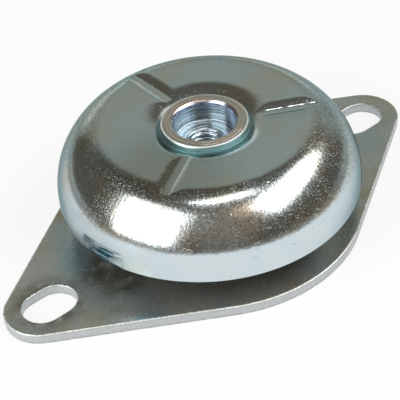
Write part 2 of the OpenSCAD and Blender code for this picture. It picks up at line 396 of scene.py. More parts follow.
@dataclass
class Paint:
    """A material in the making, with the patterns that its finish is drawn from.

    All sizes are in millimetres of the real part. A pattern runs from 0 to 1.
    """

    name: str

    def __post_init__(self) -> None:
        """Makes the material with its shader and reads the place on the part."""
        self.material = bpy.data.materials.new(self.name)
        self.material.use_nodes = True
        self.tree = self.material.node_tree
        self.tree.nodes.clear()
        self.shader = self.add("BsdfPrincipled")
        self.output = self.add("OutputMaterial", {"Surface": self.shader})
        self.place = self.add("TexCoord").outputs["Object"]
        self.height = self.add("SeparateXYZ", {0: self.place}).outputs[2]

    def add(
        self, kind: str, inputs: Mapping[str | int, object] | None = None, **settings: object
    ) -> Node:
        """Adds a node to the material, as add_node says."""
        return add_node(self.tree, kind, inputs, **settings)

    def set(self, inputs: Mapping[str, object]) -> None:
        """Sets or links the shader's inputs."""
        for key, value in inputs.items():
            feed(self.tree, self.shader.inputs[key], value)

    def cloud(
        self,
        size: float,
        low: float = 0.3,
        high: float = 0.7,
        detail: float = 2.0,
        space: object = None,
        stretch: Place = (1.0, 1.0, 1.0),
        shift: float = 0.0,
    ) -> Node:
        """Noise whose lumps are about size wide, spread so that low gives 0 and high gives 1.

        Args:
            size: the width of a lump.
            low: the noise value that gives 0.
            high: the noise value that gives 1.
            detail: how many finer layers the noise has.
            space: the vector to read, by default the place on the part.
            stretch: how many times longer the lumps are along each axis.
            shift: moves the pattern, so that two of one size differ.

        Returns:
            The node that gives the pattern.
        """
        scale = tuple(1 / (size * MM * s) for s in stretch)
        source = {0: space or self.place, 1: scale, 2: (shift,) * 3}
        placed = self.add("VectorMath", source, **SCALED)
        noise = self.add("TexNoise", {"Vector": placed, "Scale": 1.0, "Detail": detail})
        return self.add("MapRange", {0: noise, 1: low, 2: high}, **EASED)

    def around(self) -> Node:
        """The direction from the Z axis as a point on a circle of 1 mm, with the height above it.

        Patterns on it run round the part without a seam, and 1 mm there is one radian.

        Returns:
            The node that gives this vector.
        """
        flat = self.add("VectorMath", {0: self.place, 1: (1, 1, 0)}, **TIMES)
        circle = self.add("VectorMath", {0: flat}, operation="NORMALIZE")
        small = self.add("VectorMath", {0: circle, 1: (MM, MM, MM)}, **TIMES)
        raised = self.add("CombineXYZ", {2: self.height})
        return self.add("VectorMath", {0: small, 1: raised}, **PLUS)

    def lines(self, kinds: Sequence[tuple[float, float, float, float]]) -> Node:
        """Sparse straight scratches: the peaks of noises that are each drawn out one way.

        Args:
            kinds: the turn about a slanted axis in degrees, the width, the length and the cover of
                each kind. The cover is the noise value above which a line shows, about 0.7 for
                many and 0.8 for few.

        Returns:
            The node that gives the strongest of them.
        """
        strongest: object = 0.0
        for number, (turn, width, length, cover) in enumerate(kinds):
            turned = self.add(
                "VectorRotate",
                {"Vector": self.place, "Axis": (0.25, 0.2, 1), "Angle": float(np.radians(turn))},
                rotation_type="AXIS_ANGLE",
            ).outputs[0]
            drawn = (length / width, 1.0, 1.0)
            more = self.cloud(width, cover, cover + 0.04, 1.0, turned, drawn, 7.0 * number)
            strongest = self.add("Math", {0: strongest, 1: more}, operation="MAXIMUM")
        return strongest

    def radius(self) -> Node:
        """The distance from the Z axis."""
        flat = self.add("VectorMath", {0: self.place, 1: (1, 1, 0)}, **TIMES)
        return self.add("VectorMath", {0: flat}, operation="LENGTH")

    def step(self, value: object, start: float, end: float) -> Node:
        """An eased step from 0 to 1 while a length runs from start to end, either way round."""
        return self.add("MapRange", {0: value, 1: start * MM, 2: end * MM}, **EASED)

    def near(self, ball: Ball) -> Node:
        """A soft ball as a pattern.

        Args:
            ball: where it is and how far it reaches.

        Returns:
            The node that gives the pattern.
        """
        place = tuple(value * MM for value in ball.middle)
        away = self.add("VectorMath", {0: self.place, 1: place}, operation="DISTANCE")
        return self.step(away, ball.outer, ball.inner)

    def spots(self, spacing: float, size: float, share: float) -> Node:
        """Sparse round spots in the middle of some cells of a Voronoi pattern.

        Args:
            spacing: the distance between the cells.
            size: the width of a spot, whose edge fades over its outer four fifths.
            share: how many of the cells have a spot.

        Returns:
            The node that gives the pattern.
        """
        scale = 1 / (spacing * MM)
        moved = self.add("VectorMath", {0: self.place, 1: (scale,) * 3}, **TIMES)
        cells = self.add("TexVoronoi", {"Vector": moved, "Scale": 1.0})
        fade = {1: 0.1 * size / spacing, 2: 0.5 * size / spacing, 3: 1.0, 4: 0.0}
        spot = self.add("MapRange", {0: cells, **fade}, **EASED)
        draw = self.add("SeparateXYZ", {0: cells.outputs["Color"]})
        chosen = self.add("Math", {0: draw, 1: share}, operation="LESS_THAN")
        return self.add("Math", {0: spot, 1: chosen}, **TIMES)

    def coats(self, tone: object, layers: Sequence[tuple[object, object]]) -> object:
        """Lays colours over a tone, one after the other.

        Args:
            tone: the hex colour or node that they cover.
            layers: for each, the pattern that is 1 where it covers, and its hex colour or node.

        Returns:
            The node that gives the covered tone.
        """
        for pattern, colour in layers:
            tone = self.add("Mix", {0: pattern, 6: tone, 7: colour}, **COLOUR)
        return tone

    def relief(self, layers: Sequence[tuple[object, float]]) -> Node:
        """Lays patterns over each other as bumps.

        Args:
            layers: each pattern with its height, or with its depth below zero.

        Returns:
            The node that gives the bumped normal.
        """
        under: dict[str, object] = {}
        for pattern, depth in layers:
            inputs = {"Height": pattern, "Strength": 1.0, "Distance": abs(depth) * MM, **under}
            under = {"Normal": self.add("Bump", inputs, invert=depth < 0)}
        return under["Normal"]


@dataclass(frozen=True)
class BellZinc:
    """Bright zinc plate on drawn sheet, clear passivated.

    The crown is satin with faint blue and warm clouds and a few specks. The shoulder was rubbed on
    other parts: it has a lively grain, short marks along its slope, dings, bright specks and short
    scratches. Towards the near left, crown and shoulder are greyed as painted shade. The skirt is
    smooth and bluish, with fine marks from drawing and one scuffed place, tinted teal as a painted
    reflection of the foot plate. At a grazing view the passivation dims the zinc.
    """

    tone: str = "#cfdadd"
    warm: str = "#d5d2c6"
    skirt: str = "#cbd8e0"
    # Grey laid on the crown and shoulder towards the near left: painted shade.
    painted_shade: str = "#a9afaa"
    frosted: str = "#abbdbe"
    stain_and_painted_light: str = "#6f6c5c"
    drawn: str = "#7f8b95"
    # Teal of the scuffed place: a painted reflection of the foot plate on the skirt.
    scuff_and_painted_reflection: str = "#35606f"
    grazing: str = "#93a5a6"
    crown_gloss: float = 0.15
    shoulder_gloss: float = 0.17
    skirt_gloss: float = 0.1
    skirt_end: Span = (26, 28.5)
    crown_end: Span = (35, 38)
    frost_disc: Ball = Ball((0, 0, 39.3), 16, 17.8)
    # Where the scuff's relief and its painted reflection of the foot plate lie, and the heights it
    # fades over.
    scuff_and_reflection_patch: Ball = Ball((-52.4, -6.3, 18.5), 8, 10.5)
    scuff_and_reflection_end: Span = (23, 21)
    blurred: Ball = Ball((-52.4, -6.3, 18.5), 14, 28)
    calm: Ball = Ball((-50, 18, 31), 8, 16)
    # Where the painted shade lies, towards the near left.
    painted_shade_ball: Ball = Ball((-28, -12, 42), 8, 32)
    dings: tuple[Ball, ...] = (
        Ball((-21.6, -45.2, 30.3), 0.2, 0.9),
        Ball((-20.3, -45.8, 30.3), 0.2, 0.9),
        Ball((9.4, -47.5, 33.0), 0.2, 0.9),
    )

    def material(self) -> Material:
        """Builds the finish.

        Returns:
            The material.
        """
        paint = Paint("zinc_on_pressed_sheet")
        above_skirt = paint.step(paint.height, *self.skirt_end)
        past_crown = paint.step(paint.radius(), *self.crown_end)
        rubbed = paint.add("Math", {0: above_skirt, 1: past_crown}, **TIMES)
        lively = paint.add("Math", {0: paint.near(self.calm), 1: -0.8, 2: 1.0}, **SCALED)
        rubbed = paint.add("Math", {0: rubbed, 1: lively}, **TIMES)
        shoulder_patterns = (
            paint.cloud(9, 0.35, 0.65, shift=4),
            paint.cloud(0.8, 0.42, 0.7, 3),
            paint.cloud(0.5, detail=3),
            paint.cloud(0.022, detail=3, space=paint.around(), stretch=(1, 1, 250)),
            paint.spots(3.2, 1.1, 0.12),
        )
        wear_and_painted_highlight, dirt, grain, down, dings = (
            paint.add("Math", {0: pattern, 1: rubbed}, **TIMES) for pattern in shoulder_patterns
        )
        for ball in self.dings:
            dings = paint.add("Math", {0: dings, 1: paint.near(ball)}, operation="MAXIMUM")
        drawn = paint.cloud(0.02, 0.7, 0.78, 1, space=paint.around(), stretch=(4, 4, 20), shift=3)
        # Painted shade: greys the crown and shoulder towards the near left.
        painted_shade = paint.near(self.painted_shade_ball)
        drawn, dirt, painted_shade = (
            paint.add("Math", {0: pattern, 1: share}, **TIMES)
            for pattern, share in ((drawn, 0.5), (dirt, 0.5), (painted_shade, 0.6))
        )
        frost = paint.near(self.frost_disc)
        skirt_lines = paint.cloud(0.035, 0.4, 0.52, 4, space=paint.around(), stretch=(3, 3, 14))
        # Scuff: relief streaks, coloured teal as a painted reflection of the foot plate.
        scuff_and_painted_reflection = paint.add("Math", {0: paint.near(self.scuff_and_reflection_patch), 1: skirt_lines}, **TIMES)
        scuff_and_painted_reflection = paint.add("Math", {0: scuff_and_painted_reflection, 1: paint.step(paint.height, *self.scuff_and_reflection_end)}, **TIMES)
        scratch = paint.lines([(20, 0.35, 12, 0.74), (75, 0.3, 9, 0.76), (135, 0.3, 14, 0.76)])
        strokes = paint.lines([(60, 0.4, 4, 0.7), (115, 0.4, 4, 0.7), (175, 0.4, 4, 0.7)])
        specks = paint.cloud(0.42, 0.62, 0.76)
        specks = paint.add("Math", {0: specks, 1: strokes}, operation="MAXIMUM")
        bright = paint.add("Math", {0: specks, 1: wear_and_painted_highlight}, **TIMES)
        warm = paint.cloud(16, 0.35, 0.7, 4)
        on_shoulder = [(warm, self.warm), (painted_shade, self.painted_shade), (frost, self.frosted)]
        blue = paint.cloud(9, 0.35, 0.7, 4, shift=2)
        on_skirt = [(blue, self.skirt), (drawn, self.drawn), (scuff_and_painted_reflection, self.scuff_and_painted_reflection)]
        shoulder = paint.coats(self.tone, on_shoulder)
        on_both = [(above_skirt, shoulder), (paint.spots(6.5, 0.8, 0.22), self.stain_and_painted_light)]
        tone = paint.coats(self.tone, [*on_skirt, *on_both, (dirt, self.stain_and_painted_light)])
        blur = {0: paint.near(self.blurred), 1: 0.3, 2: self.skirt_gloss}
        gloss = paint.add("Math", blur, **SCALED)
        gloss = paint.add("Mix", {0: above_skirt, 2: gloss, 3: self.crown_gloss})
        gloss = paint.add("Mix", {0: rubbed, 2: gloss, 3: self.shoulder_gloss})
        for pattern, rise in ((scratch, 0.32), (bright, 0.42), (frost, 0.25)):
            gloss = paint.add("Math", {0: pattern, 1: rise, 2: gloss}, **SCALED)
        relief = paint.relief(
            [
                (paint.cloud(5), 0.02),
                (paint.cloud(0.6), 0.002),
                (grain, 0.007),
                (down, 0.01),
                (bright, 0.022),
                (scuff_and_painted_reflection, 0.1),
                (dings, -0.05),
                (scratch, -0.018),
            ]
        )
        paint.set({"Metallic": 1.0, "Specular Tint": self.grazing})
        paint.set({"Base Color": tone, "Roughness": gloss, "Normal": relief})
        return paint.material


@dataclass(frozen=True)
class TurnedZinc:
    """Zinc plate on a turned steel part.

    The tool leaves rings on every face. The passivation is thicker here: it looks warm on the end
    face, steel blue in the bore, violet at its mouth and frosted teal on the outside. A near-white,
    less metallic line along the collar's upper outer edge is a painted highlight.
    """

    face: str = "#dac8b8"
    bore: str = "#c2d0d8"
    mouth: str = "#b3bdd6"
    outside: str = "#8fb8ba"
    pale: str = "#cdd5d7"
    dark: str = "#74858f"
    # Near-white of the collar's upper outer edge: a painted highlight.
    wear_and_painted_highlight: str = "#f2f6f6"
    gloss: float = 0.17
    bore_edge: Span = (11.65, 10.95)
    collar_edge: Span = (14.7, 15.05)
    painted_highlight_edge: Span = (14.4, 14.8)
    mouth_heights: Span = (38, 41)
    face_heights: Span = (41.4, 41.8)

    def material(self) -> Material:
        """Builds the finish.

        Returns:
            The material.
        """
        paint = Paint("zinc_on_turned_steel")
        radius = paint.radius()
        edges = (self.bore_edge, self.collar_edge, self.painted_highlight_edge)
        inside, outside, wear_and_painted_highlight = (paint.step(radius, *edge) for edge in edges)
        mouth = paint.step(paint.height, *self.mouth_heights)
        top = paint.step(paint.height, *self.face_heights)
        # Painted highlight: a near-white, less metallic line on the collar's upper outer edge.
        wear_and_painted_highlight = paint.add("Math", {0: wear_and_painted_highlight, 1: top}, **TIMES)
        section = paint.add("CombineXYZ", {0: radius, 1: paint.height}).outputs[0]
        rings = paint.cloud(0.7, 0.4, 0.6, 3, space=section)
        dark = paint.add("Math", {0: rings, 1: inside}, **TIMES)
        dark = paint.add("Math", {0: dark, 1: 0.35}, **TIMES)
        cloud = paint.cloud(5, 0.35, 0.8, 3)
        faded = paint.add("Math", {0: cloud, 1: 0.5}, **TIMES)
        bore = paint.coats(self.bore, [(mouth, self.mouth)])
        over = [(outside, self.outside), (faded, self.pale), (dark, self.dark), (wear_and_painted_highlight, self.wear_and_painted_highlight)]
        tone = paint.coats(self.face, [(inside, bore), *over])
        fine_rings = paint.cloud(0.3, space=section)
        relief = paint.relief([(rings, 0.07), (fine_rings, 0.012), (paint.cloud(1.2), 0.004)])
        gloss = paint.add("Math", {0: cloud, 1: 0.06, 2: self.gloss}, **SCALED)
        gloss = paint.add("Math", {0: outside, 1: 0.12, 2: gloss}, **SCALED)
        metal = paint.add("Math", {0: wear_and_painted_highlight, 1: -0.55, 2: 1.0}, **SCALED)
        paint.set({"Metallic": metal, "Base Color": tone, "Roughness": gloss, "Normal": relief})
        return paint.material


@dataclass(frozen=True)
class BlankZinc:
    """Zinc plate on hot-rolled sheet, duller than on the bell.

    The flat faces are olive grey with bluish and brown clouds, faint pits, bright specks and
    scratches. Some patches are greyed as painted shade below the bell's rim, and some tinted blue
    as a painted reflection of the bell's skirt. The sheared edges took more zinc: they are pale,
    matt and finely striped across, a little darker towards the bottom, and near-white where the
    punch drew the edge down, as wear and a painted highlight.
    """

    name: str
    tone: str = "#bec1b9"
    cool: str = "#aab9b9"
    warm: str = "#b2a992"
    pit: str = "#6f6c63"
    # Tones of the painted shade below the bell's rim and of the painted reflection of its skirt.
    dark: str = "#6f7066"
    blue: str = "#a0b8be"
    edge: str = "#c6cacb"
    sheared: str = "#8f949a"
    # Near-white of the rolled upper edge: wear with a painted highlight line.
    wear_and_painted_highlight: str = "#f0f2ec"
    gloss: float = 0.24
    edge_gloss: float = 0.5
    metal: float = 0.76
    side_levels: Span = (0.95, 0.75)
    bent_levels: Span = (0.5, 0.75)
    flat_levels: Span = (0.96, 0.9)
    lower_heights: Span = (1.1, 0.2)
    face_height: float = 4
    # Patches of painted shade below the bell's rim and of painted reflection of its skirt: x, y,
    # reach.
    rim_shade_patches: tuple[Place, ...] = ()
    skirt_reflection_patches: tuple[Place, ...] = ()

    def material(self) -> Material:
        """Builds the finish.

        A level is how much a face looks up or down. Each patch of painted shade and of painted
        reflection has its x and y and its reach.

        Returns:
            The material.
        """
        paint = Paint(self.name)
        normal = paint.add("SeparateXYZ", {0: paint.add("NewGeometry").outputs["True Normal"]})
        level = paint.add("Math", {0: normal.outputs[2]}, operation="ABSOLUTE")
        side, bent = (
            paint.add("MapRange", {0: level, 1: start, 2: end}, **EASED)
            for start, end in (self.side_levels, self.bent_levels)
        )
        tilted = paint.add("MapRange", {0: level, 1: self.flat_levels[0], 2: self.flat_levels[1]})
        bent = paint.add("Math", {0: bent, 1: tilted}, **TIMES)
        # Rolled edge: wear and a painted highlight, near-white and less metallic.
        wear_and_painted_highlight = paint.add("Math", {0: bent, 1: paint.cloud(0.7, 0.4, 0.62, 3)}, **TIMES)
        cloud = paint.cloud(24, 0.42, 0.75, 3)
        brown = paint.cloud(14, 0.45, 0.8, 3, shift=11)
        pits = paint.cloud(0.8, 0.45, 0.75, 3)
        faint = paint.add("Math", {0: pits, 1: 0.3}, **TIMES)
        layers = [(cloud, self.cool), (brown, self.warm), (faint, self.pit)]
        patchy = paint.cloud(4, 0.2, 0.6, 2, shift=5)
        # Painted shade and painted reflection patches, broken up by a cloud.
        for places, colour in ((self.rim_shade_patches, self.dark), (self.skirt_reflection_patches, self.blue)):
            for x, y, size in places:
                stain_and_painted_light = paint.near(Ball((x, y, self.face_height), 0.35 * size, size))
                layers.append((paint.add("Math", {0: stain_and_painted_light, 1: patchy}, **TIMES), colour))
        stripes = paint.cloud(0.35, 0.4, 0.7, 3, stretch=(1, 1, 6))
        low = paint.step(paint.height, *self.lower_heights)
        low = paint.add("Math", {0: low, 1: paint.cloud(1.1, 0.35, 0.55)}, **TIMES)
        sheared = paint.add("Math", {0: stripes, 1: 0.3}, **TIMES)
        sheared = paint.add("Math", {0: sheared, 1: low}, operation="MAXIMUM")
        edge = paint.coats(self.edge, [(sheared, self.sheared)])
        tone = paint.coats(self.tone, [*layers, (side, edge), (wear_and_painted_highlight, self.wear_and_painted_highlight)])
        scratch = paint.lines([(35, 0.3, 9, 0.76), (100, 0.3, 7, 0.76), (160, 0.3, 12, 0.76)])
        specks, groups = paint.cloud(0.45, 0.6, 0.75), paint.cloud(7, 0.45, 0.65)
        specks = paint.add("Math", {0: specks, 1: groups}, **TIMES)
        bright = paint.add("Math", {0: specks, 1: scratch}, operation="MAXIMUM")
        gloss = paint.add("Math", {0: cloud, 1: -0.05, 2: self.gloss}, **SCALED)
        gloss = paint.add("Math", {0: bright, 1: 0.3, 2: gloss}, **SCALED)
        gloss = paint.add("Mix", {0: side, 2: gloss, 3: self.edge_gloss})
        bumps = [(paint.cloud(3.5), 0.02), (pits, -0.006), (bright, -0.03), (stripes, 0.01)]
        metal = paint.add("Math", {0: wear_and_painted_highlight, 1: -0.5, 2: self.metal}, **SCALED)
        paint.set({"Metallic": metal, "Base Color": tone, "Roughness": gloss})
        paint.set({"Normal": paint.relief(bumps)})
        return paint.material


@dataclass(frozen=True)
class MouldedRubber:
    """Natural rubber from a mould: matt black with a grey bloom."""

    tone: str = "#17171a"
    bloom: str = "#2a2a2e"
    roughness: float = 0.62

    def material(self) -> Material:
        """Builds the finish.

        Returns:
            The material.
        """
        paint = Paint("moulded_rubber")
        tone = paint.coats(self.tone, [(paint.cloud(6, 0.4, 0.7, 5), self.bloom)])
        relief = paint.relief([(paint.cloud(0.5, detail=3), 0.02)])
        paint.set({"Base Color": tone, "Roughness": self.roughness, "Normal": relief})
        return paint.material


# Pieces


@dataclass
class BellCap:
    """The pressed bell: skirt, shoulder, flat crown, ring recess and radial grooves."""

    radius: float = 53 * MM
    rim_z: float = 15.7 * MM
    crown_z: float = 41.8 * MM
    sheet: float = 2.5 * MM
    shoulder_rise: float = 10.6 * MM
    shoulder_slope: float = np.radians(37)
    shoulder_bend: float = 25.5 * MM
    crown_bend: float = 14 * MM
    recess_depth: float = 2.5 * MM
    recess_corner: float = 15.7 * MM
    recess_slope: float = np.radians(27)
    brow_bend: float = 19 * MM
    recess_bend: float = 0.5 * MM
    hole_radius: float = 13.55 * MM
    edge_bend: float = 0.35 * MM
    groove_directions: tuple[float, ...] = (90, 210, 330)
    groove_floor: float = 2.4 * MM
    groove_tilts: tuple[float, ...] = (0.0, -0.08, 0.03)
    groove_burrs: tuple[float, ...] = (0.0, 0.06 * MM, 0.07 * MM)
    burr_width: float = 0.28 * MM
    groove_hollow: float = 0.05 * MM
    groove_slope: float = np.radians(22)
    groove_sides: tuple[int, ...] = (-1, -1, 1)
    pressed_reach: float = 4.5 * MM
    rolled_reaches: tuple[float, ...] = (6 * MM, 6 * MM, 8.5 * MM)
    burr_waves: Span = (0.42 * MM, 1.3 * MM)
    groove_blend: float = 0.25 * MM
    far_above: float = 1.0
    upper_steps: Steps = (np.radians(2.2), 0.7 * MM)
    middle_steps: Steps = (np.radians(3), 1 * MM)
    lower_steps: Steps = (np.radians(6), 2.4 * MM)
    columns: int = 540
    crowding: float = 0.75

    def upper_line(self) -> list[Corner]:
        """The sheet's upper side, from the rim to the hole.

        Returns:
            Its corners with their bends.
        """
        recess_z = self.crown_z - self.recess_depth
        crown_edge = self.radius - self.shoulder_rise / np.tan(self.shoulder_slope)
        brow = self.recess_corner + self.recess_depth / np.tan(self.recess_slope)
        return [
            (self.radius, self.rim_z, 0),
            (self.radius, self.crown_z - self.shoulder_rise, self.shoulder_bend),
            (crown_edge, self.crown_z, self.crown_bend),
            (brow, self.crown_z, self.brow_bend),
            (self.recess_corner, recess_z, self.recess_bend),
            (self.hole_radius, recess_z, 0),
        ]

    def groove_height(self, points: np.ndarray, drop: float) -> np.ndarray:
        """Height of the grooves' surface over each point.

        A groove's floor is hollow on a parabola and may lean a little to one side. Past its edge
        the sheet rolls up to the crown. Where t is the distance past the edge over the reach, the
        rise is the depth times (3 t - t cubed) / 2 on the side that was pressed harder and the
        depth times (2 t - t squared) on the other. Some grooves have a burr on the first side, an
        eased step whose height comes and goes along them.

        Args:
            points: positions whose last axis is x, y, z.
            drop: how far the surface lies below the sheet's upper side.

        Returns:
            The groove surface's height, far above the bell where no groove runs.
        """
        height = np.full(points.shape[:-1], self.far_above)
        half = self.groove_floor / 2
        depth = 2 / 3 * self.pressed_reach * np.tan(self.groove_slope)
        short_wave, long_wave = self.burr_waves
        shapes = zip(
            self.groove_directions,
            self.groove_sides,
            self.groove_tilts,
            self.groove_burrs,
            self.rolled_reaches,
        )
        for degrees, side, tilt, burr, rolled_reach in shapes:
            direction = np.radians(degrees)
            along = points[..., 0] * np.cos(direction) + points[..., 1] * np.sin(direction)
            across = -points[..., 0] * np.sin(direction) + points[..., 1] * np.cos(direction)
            inner = np.clip(across, -half, half)
            pressed = across * side > 0
            past = np.maximum(np.abs(across) - half, 0)
            t = np.clip(past / np.where(pressed, self.pressed_reach, rolled_reach), 0, 1)
            roll = depth * np.where(pressed, (3 * t - t**3) / 2, 2 * t - t**2)
            share = np.clip(past / self.burr_width, 0, 1) * pressed
            gaps = 0.55 + 0.45 * np.sin(along / short_wave + 2 * np.sin(along / long_wave))
            step = burr * gaps * share**2 * (3 - 2 * share)
            floor = tilt * inner - self.groove_hollow * (1 - (inner / half) ** 2)
            here = self.crown_z - depth - drop + floor + roll + step
            height = np.minimum(height, np.where(along > 0, here, self.far_above))
        return height

    def build(self) -> Object:
        """Builds the sheet as one closed surface.

        The section runs up the outside, through the hole and back along the inside. The copies of
        the section are crowded towards the grooves by taking a sine off an even turn.

        Returns:
            The object.
        """
        corners = self.upper_line()
        upper = rounded_line(corners, self.upper_steps)
        lower = parallel_line(corners, self.sheet, self.lower_steps)[::-1]
        profile = np.concatenate([upper, lower])
        ends = [len(upper) - 1, len(upper), len(profile) - 1, 0]
        profile = round_edges(profile, ends, self.edge_bend)
        even = full_turn(self.columns)
        grooves = len(self.groove_directions)
        phase = grooves * (even - np.radians(self.groove_directions[0]))
        angles = even - self.crowding / grooves * np.sin(phase)
        points = turned_grid(profile, angles)
        middle = parallel_line(corners, self.sheet / 2, self.middle_steps)
        order = np.argsort(middle[:, 0])
        split = np.interp(profile[:, 0], middle[order, 0], middle[order, 1])
        outside = (profile[:, 1] >= split)[None, :]
        above, below = (
            soft_min(points[..., 2], self.groove_height(points, drop), self.groove_blend)
            for drop in (0.0, self.sheet)
        )
        points[..., 2] = np.where(outside, above, below)
        return make_ring("bell_shell", points)


@dataclass
class ThreadedBush:
    """The turned bush: collar, counterbore, M12 thread, stem and rolled rivet head."""

    top_z: float = 42 * MM
    collar: float = 15.2 * MM
    collar_bend: float = 0.8 * MM
    recess_z: float = 39.3 * MM
    pilot: float = 13.5 * MM
    pilot_end_z: float = 32.6 * MM
    stem: float = 10 * MM
    washer_top_z: float = 12.5 * MM
    washer_z: float = 9.5 * MM
    spigot: float = 8 * MM
    rivet: float = 9.8 * MM
    rivet_z: float = 8.7 * MM
    counterbore: float = 10.85 * MM
    mouth_chamfer: float = 0.75 * MM
    floor_z: float = 34 * MM
    floor_fall: float = 0.5 * MM
    core: float = 5.1 * MM
    root: float = 6.0 * MM
    pitch: float = 1.75 * MM
    thread_mouth: float = 6.15 * MM
    thread_chamfer: float = 0.7 * MM
    fine_bend: float = 0.12 * MM
    edge_bend: float = 0.2 * MM
    floor_bend: float = 0.35 * MM
    rivet_bend: float = 0.4 * MM
    steps: Steps = (np.radians(12), 1.5 * MM)
    columns: int = 216
    rows_per_pitch: int = 12

    def outside(self) -> np.ndarray:
        """The section from the lower end of the bore out, up and into the counterbore's floor.

        Returns:
            Its points, one row of radius and height each.
        """
        fine, edge = self.fine_bend, self.edge_bend
        corners = [
            (self.core + self.thread_chamfer, self.rivet_z, 0),
            (self.rivet, self.rivet_z, self.rivet_bend),
            (self.rivet, self.washer_z, edge),
            (self.spigot, self.washer_z, fine),
            (self.spigot, self.washer_top_z, fine),
            (self.stem, self.washer_top_z, fine),
            (self.stem, self.pilot_end_z, fine),
            (self.pilot, self.pilot_end_z, fine),
            (self.pilot, self.recess_z, fine),
            (self.collar, self.recess_z, fine),
            (self.collar, self.top_z, self.collar_bend),
            (self.counterbore + self.mouth_chamfer, self.top_z, edge),
            (self.counterbore, self.top_z - self.mouth_chamfer, edge),
            (self.counterbore, self.floor_z, self.floor_bend),
            (self.thread_mouth, self.floor_z - self.floor_fall, 0),
        ]
        return rounded_line(corners, self.steps)

    def thread_radius(self, angles: np.ndarray, heights: np.ndarray) -> np.ndarray:
        """Wall radius of the right-hand thread.

        The phase is the height over the pitch less the turn. Its distance from the middle of the
        ridge runs along a flat crest, a flank of 30 degrees and a flat root, and a cone opens each
        end of the bore.

        Args:
            angles: directions about Z, in radians.
            heights: heights of the rows.

        Returns:
            Radii as an array of angles by heights.
        """
        phase = (heights[None, :] / self.pitch - angles[:, None] / (2 * np.pi)) % 1.0
        away = np.minimum(phase, 1 - phase) * self.pitch
        crest_half = self.pitch / 8
        flank = (away - crest_half) / np.tan(np.radians(30))
        wall = self.core + np.clip(flank, 0, self.root - self.core)
        top = self.floor_z - self.floor_fall
        mouth = self.thread_mouth - (top - heights)
        foot = self.core + self.thread_chamfer - (heights - self.rivet_z)
        return np.maximum(wall, np.maximum(mouth, foot)[None, :])

    def build(self) -> Object:
        """Builds the bush as one closed surface, with the thread as its own rows.

        Returns:
            The object.
        """
        angles = full_turn(self.columns)
        body = turned_grid(self.outside(), angles)
        top = self.floor_z - self.floor_fall
        rows = int((top - self.rivet_z) / self.pitch * self.rows_per_pitch)
        heights = np.linspace(top, self.rivet_z, rows + 1)[1:-1]
        radii = self.thread_radius(angles, heights)
        profile = np.stack([radii, np.broadcast_to(heights, radii.shape)], axis=-1)
        thread = turned_grid(profile, angles)
        return make_ring("turned_bush", np.concatenate([body, thread], axis=1))


